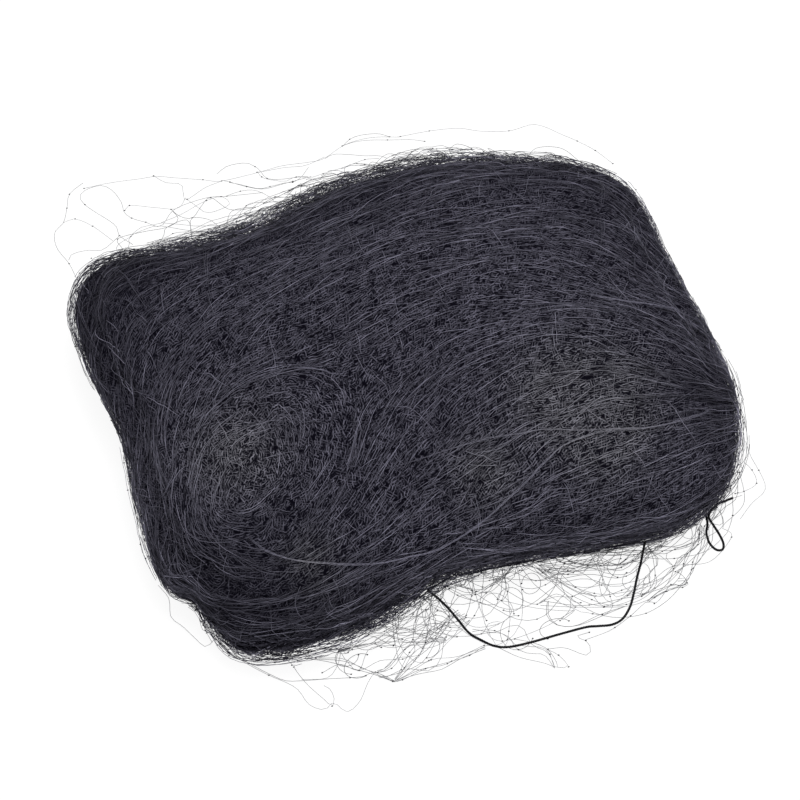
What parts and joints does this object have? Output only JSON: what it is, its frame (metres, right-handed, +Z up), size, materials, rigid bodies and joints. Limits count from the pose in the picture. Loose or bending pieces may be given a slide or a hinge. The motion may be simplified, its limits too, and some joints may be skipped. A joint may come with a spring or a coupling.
{
  "type": "bundled insect netting",
  "caption": "Fine black filament netting wound into a loose flat pad, with open diamond mesh hanging off its back and front edges and a slack border cord.",
  "frame": {"origin": "on the floor, under the middle of the wound pad, in the plane of its flat underside", "axes": "+Z up, +X along the long side of the wound pad, +Y towards its back edge, where the longer loose flap lies; with both flaps the whole is longest along Y"},
  "size_m": [0.2508, 0.273, 0.0549],
  "materials": {
    "net_bundle": "matt, wound fine black nylon filament",
    "loose_net": "matt, open mesh of fine black nylon filament",
    "border_cord": "matt, twisted black twine"
  },
  "bodies": {
    "root": {"net_bundle": "net_bundle", "loose_net_back": "loose_net", "loose_net_front": "loose_net", "border_cord_crown": "border_cord", "border_cord_front": "border_cord", "border_cord_eye": "border_cord"}
  },
  "joints": []
}
